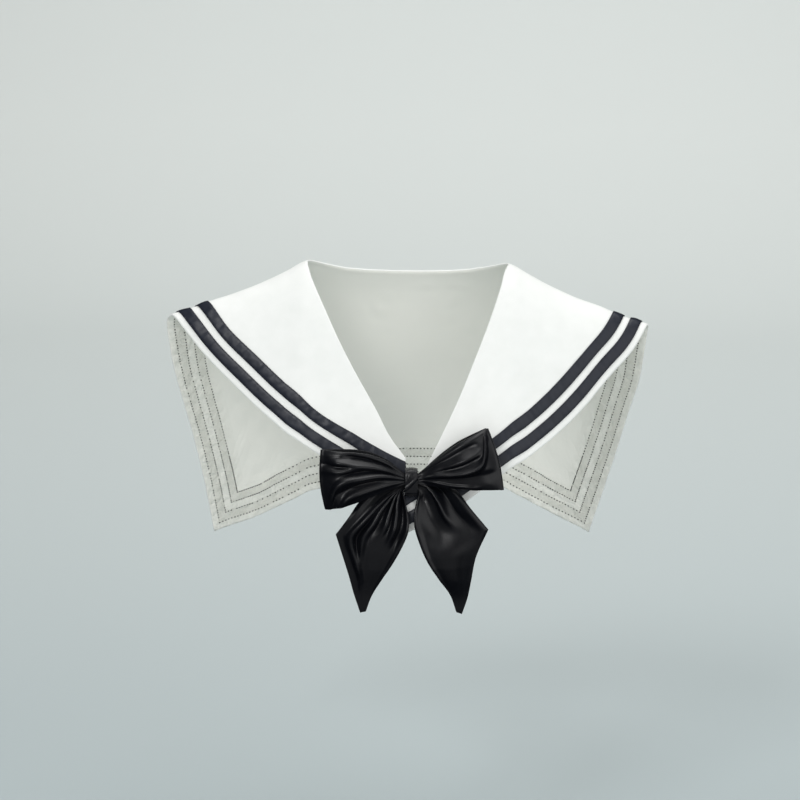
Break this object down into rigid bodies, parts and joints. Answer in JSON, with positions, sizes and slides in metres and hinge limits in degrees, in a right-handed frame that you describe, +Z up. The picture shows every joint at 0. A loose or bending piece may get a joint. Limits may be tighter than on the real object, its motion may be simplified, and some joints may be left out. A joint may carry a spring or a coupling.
{
  "type": "sailor collar",
  "caption": "Square-backed white cloth sailor collar draped as worn, with dark ribbon stripes along its edge and a pleated satin bow at the V front.",
  "frame": {"origin": "midway between the two side neck points, on the line where the collar lies over the shoulders", "axes": "+X to the right of somebody looking at the front, +Y to the back, +Z up; the front with the bow faces -Y"},
  "size_m": [0.4845, 0.2697, 0.3138],
  "materials": {
    "collar_cloth": "plain woven cotton and polyester cloth, white, matt",
    "ribbon_satin": "blue-black satin ribbon with a soft sheen",
    "bow_satin": "near-black satin, smooth and glossy along the folds",
    "pin_steel": "plain nickel-plated steel"
  },
  "bodies": {
    "root": {"collar_body": "collar_cloth", "ribbon_outer": "ribbon_satin", "ribbon_inner": "ribbon_satin", "bow_wing_left": "bow_satin", "bow_wing_right": "bow_satin", "bow_tail_left": "bow_satin", "bow_tail_right": "bow_satin", "bow_knot": "bow_satin", "bow_pin": "pin_steel"}
  },
  "joints": []
}
